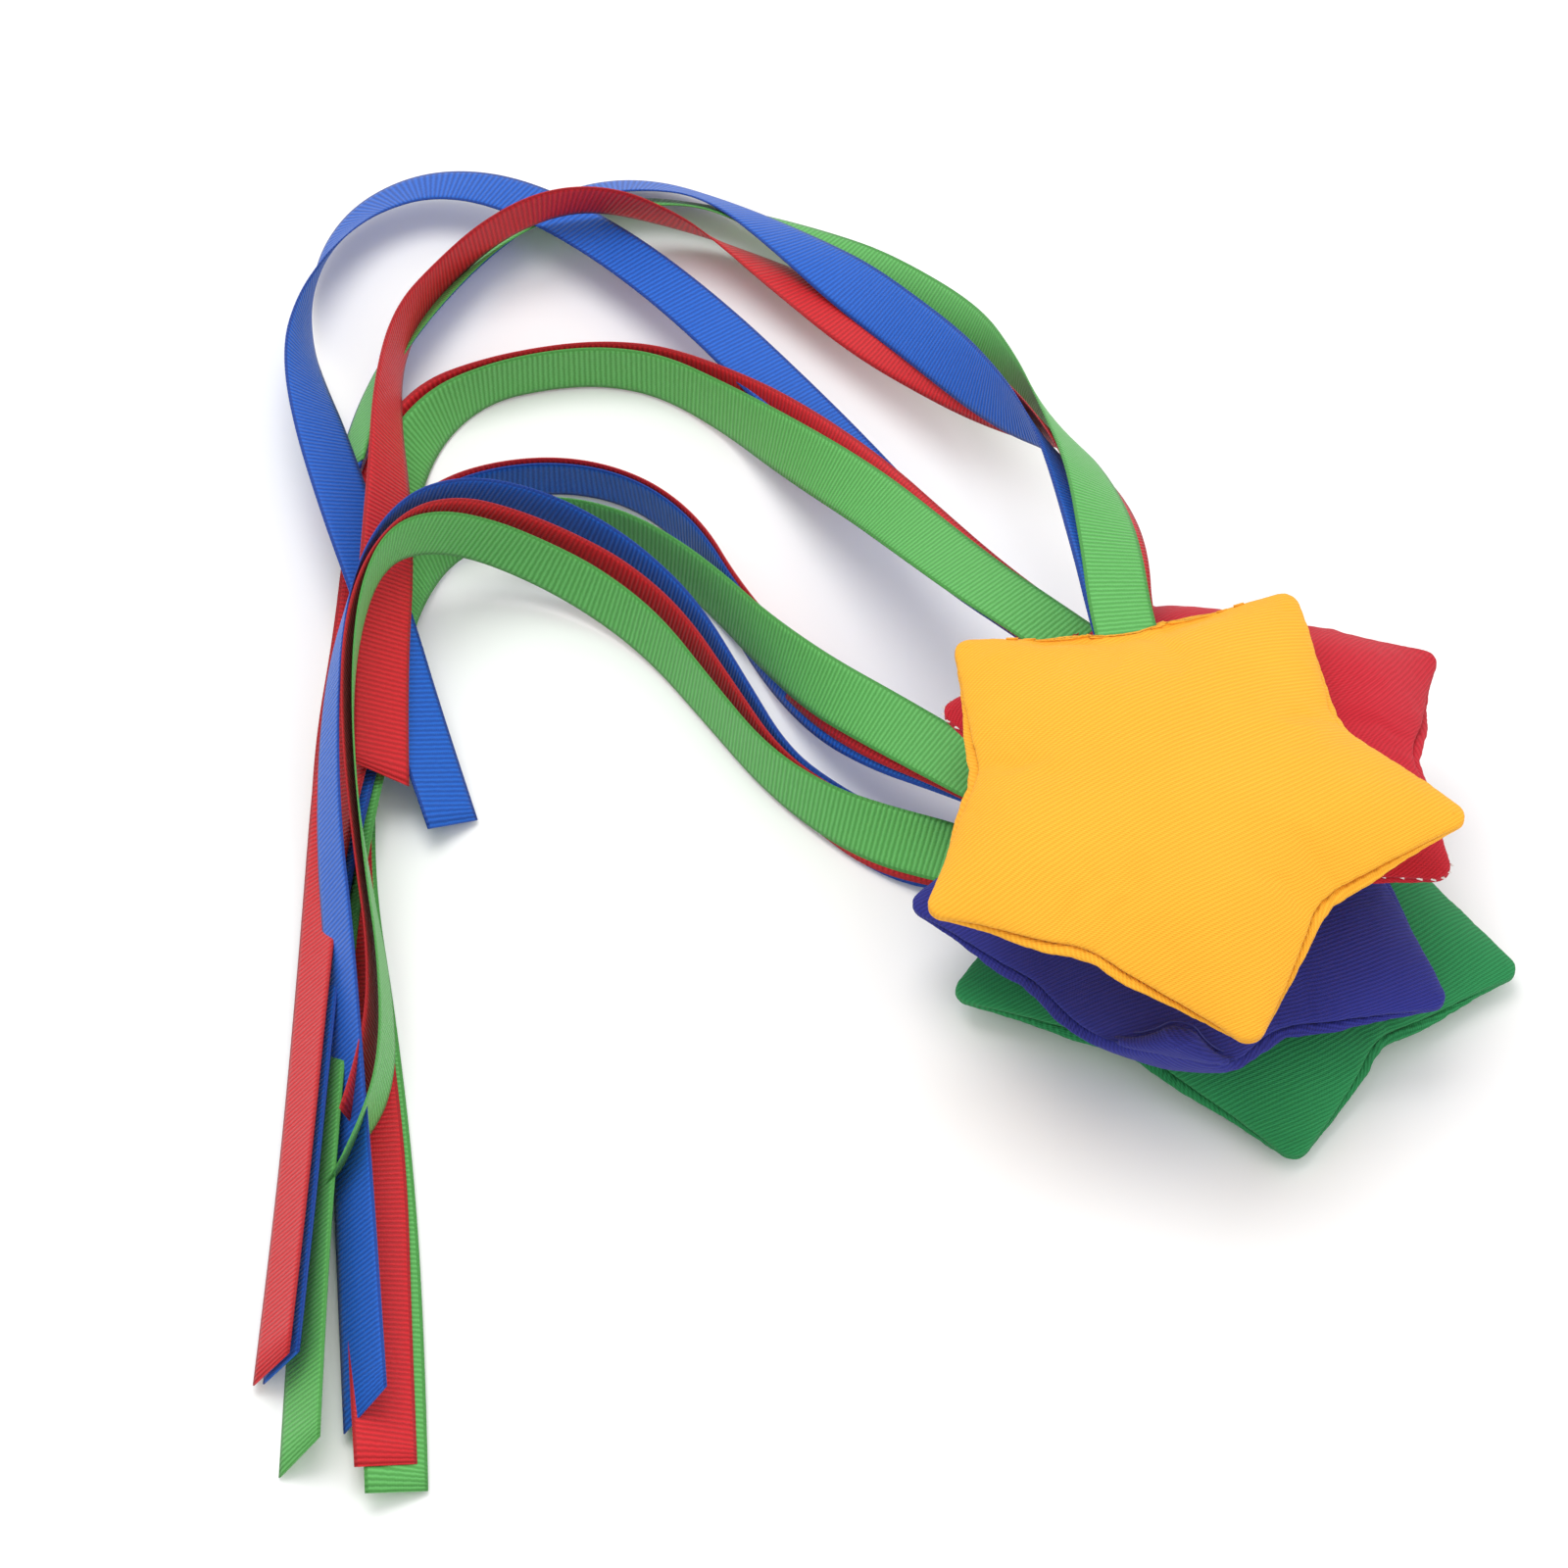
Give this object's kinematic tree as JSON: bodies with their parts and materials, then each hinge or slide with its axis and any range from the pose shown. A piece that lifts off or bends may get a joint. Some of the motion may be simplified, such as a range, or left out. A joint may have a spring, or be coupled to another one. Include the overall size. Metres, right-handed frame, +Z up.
{
  "type": "star bean bags with ribbon streamers",
  "caption": "Stack of star-shaped cloth bean bags, each sewn round the edge and filled with pellets, with grosgrain ribbon streamers trailing from one side; for throwing and catching.",
  "frame": {"origin": "On the table under the stack, at the centre of its footprint; the table is z = 0.", "axes": "+Z is up, away from the table. The streamers lie towards -X. -Y is the side the viewer stands on."},
  "size_m": [0.2435, 0.3388, 0.0618],
  "materials": {
    "green_twill": "cotton twill, fine diagonal rib",
    "blue_twill": "cotton twill, fine diagonal rib",
    "red_twill": "cotton twill, fine diagonal rib",
    "yellow_twill": "cotton twill, fine diagonal rib",
    "green_thread": "spun polyester sewing thread",
    "blue_thread": "spun polyester sewing thread",
    "red_thread": "spun polyester sewing thread",
    "yellow_thread": "spun polyester sewing thread",
    "green_grosgrain": "ribbed grosgrain, slight sheen",
    "red_grosgrain": "ribbed grosgrain, slight sheen",
    "blue_grosgrain": "ribbed grosgrain, slight sheen",
    "pellets": "white polyethylene pellets, unseen"
  },
  "bodies": {
    "green_bag": {"green_upper_panel": "green_twill", "green_lower_panel": "green_twill", "green_pellet_fill": "pellets", "green_seam_thread": "green_thread", "green_closing_stitches": "green_thread", "green_ribbon_green": "green_grosgrain", "green_ribbon_red": "red_grosgrain", "green_ribbon_blue": "blue_grosgrain"},
    "blue_bag": {"blue_upper_panel": "blue_twill", "blue_lower_panel": "blue_twill", "blue_pellet_fill": "pellets", "blue_seam_thread": "blue_thread", "blue_closing_stitches": "blue_thread", "blue_ribbon_green": "green_grosgrain", "blue_ribbon_red": "red_grosgrain", "blue_ribbon_blue": "blue_grosgrain"},
    "red_bag": {"red_upper_panel": "red_twill", "red_lower_panel": "red_twill", "red_pellet_fill": "pellets", "red_seam_thread": "red_thread", "red_closing_stitches": "red_thread", "red_ribbon_green": "green_grosgrain", "red_ribbon_red": "red_grosgrain", "red_ribbon_blue": "blue_grosgrain"},
    "yellow_bag": {"yellow_upper_panel": "yellow_twill", "yellow_lower_panel": "yellow_twill", "yellow_pellet_fill": "pellets", "yellow_seam_thread": "yellow_thread", "yellow_closing_stitches": "yellow_thread", "yellow_ribbon_green": "green_grosgrain", "yellow_ribbon_red": "red_grosgrain", "yellow_ribbon_blue": "blue_grosgrain"}
  },
  "joints": [
    {"name": "lift_blue", "type": "slide", "parent": "green_bag", "child": "blue_bag", "axis": [0, 0, 1], "range_m": [0, 0.06], "deforming": ["blue_ribbon_green", "blue_ribbon_red", "blue_ribbon_blue"]},
    {"name": "lift_red", "type": "slide", "parent": "blue_bag", "child": "red_bag", "axis": [0, 0, 1], "range_m": [0, 0.06], "deforming": ["red_ribbon_green", "red_ribbon_red", "red_ribbon_blue"]},
    {"name": "lift_yellow", "type": "slide", "parent": "red_bag", "child": "yellow_bag", "axis": [0, 0, 1], "range_m": [0, 0.06], "deforming": ["yellow_ribbon_green", "yellow_ribbon_red", "yellow_ribbon_blue"]}
  ]
}
